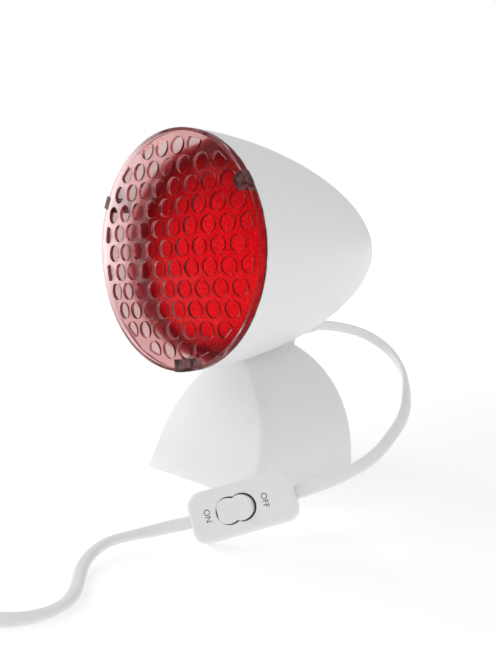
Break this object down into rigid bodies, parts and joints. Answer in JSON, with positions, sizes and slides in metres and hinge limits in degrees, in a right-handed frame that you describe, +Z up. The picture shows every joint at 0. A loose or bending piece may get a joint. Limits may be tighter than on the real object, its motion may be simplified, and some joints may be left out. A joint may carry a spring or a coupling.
{
  "type": "infrared heat lamp",
  "caption": "Tabletop infrared heat lamp: bell-shaped tilting head with a pierced clear guard over a red bulb, rounded base, flat cord with inline rocker switch and plug.",
  "frame": {"origin": "middle of the base's footprint, on the floor, at the foot pad's underside", "axes": "+Z up, the lamp looks along -Y, the tilt axle runs along X"},
  "size_m": [0.2345, 0.4519, 0.2188],
  "materials": {
    "white_shell": "smooth satin moulded",
    "clear_guard": "clear, colourless, smooth",
    "black_plastic": "moulded",
    "steel": "zinc plated",
    "red_glass": "stippled red glass",
    "silvered_glass": "silvered reflector",
    "clear_glass": "clear, pressed",
    "brass": "plain",
    "black_glass": "glassy",
    "solder": "dull",
    "tungsten": "wound wire",
    "porcelain": "glazed",
    "brown_insulation": "flexible",
    "blue_insulation": "flexible",
    "white_cord": "flexible, satin",
    "white_rubber": "soft moulded",
    "fibre": "pressed fibre",
    "grey_plastic": "moulded",
    "cast_iron": "as cast",
    "rubber_pad": "dense foam",
    "switch_white": "smooth moulded",
    "plug_white": "moulded",
    "plated_brass": "nickel plated"
  },
  "bodies": {
    "base": {"base_shell": "white_shell", "base_plate": "grey_plastic", "base_screws": "steel", "ballast_block": "cast_iron", "ballast_screws": "steel", "foot_pad": "rubber_pad", "tilt_axle": "steel", "axle_nut": "steel", "friction_washers": "fibre", "switch_front_case": "switch_white", "switch_back_case": "switch_white", "rocker_pin": "steel", "switch_contacts": "brass", "neutral_link": "brass", "terminal_blocks": "brass", "terminal_screws": "steel", "case_screws": "steel", "cord_lamp_side": "white_cord", "cord_plug_side": "white_cord", "cord_coil": "white_cord", "coil_tie": "black_plastic", "plug_boot": "white_rubber", "plug_body": "plug_white", "plug_pins": "plated_brass", "pin_sleeves": "black_plastic"},
    "head": {"head_shell": "white_shell", "front_guard": "clear_guard", "guard_clips": "black_plastic", "clip_screws": "steel", "bulb_lens": "red_glass", "bulb_bowl": "silvered_glass", "bulb_screw_cap": "brass", "cap_insulator": "black_glass", "bulb_tip_contact": "solder", "filament": "tungsten", "filament_posts": "steel", "bulb_stem": "clear_glass", "lampholder_body": "porcelain", "lampholder_sleeve": "brass", "lampholder_contact": "brass", "lampholder_bracket": "steel", "lampholder_screws": "steel", "bracket_screws": "steel", "lead_live": "brown_insulation", "lead_neutral": "blue_insulation", "cord_inner_end": "white_cord", "cord_boot": "white_rubber", "clamp_bar": "fibre", "clamp_screws": "steel", "tilt_neck": "white_shell", "neck_screws": "steel"},
    "rocker": {"switch_rocker": "switch_white", "switch_bridge": "brass"}
  },
  "joints": [
    {"name": "head_tilt", "type": "hinge", "parent": "base", "child": "head", "pos_m": [0, 0.025, 0.071], "axis": [-1, 0, 0], "range_deg": [0, 25]},
    {"name": "switch_rock", "type": "hinge", "parent": "base", "child": "rocker", "pos_m": [0.09363, -0.10133, 0.02084], "axis": [-0.4409, 0.0659, 0.8951], "range_deg": [0, 16]}
  ]
}
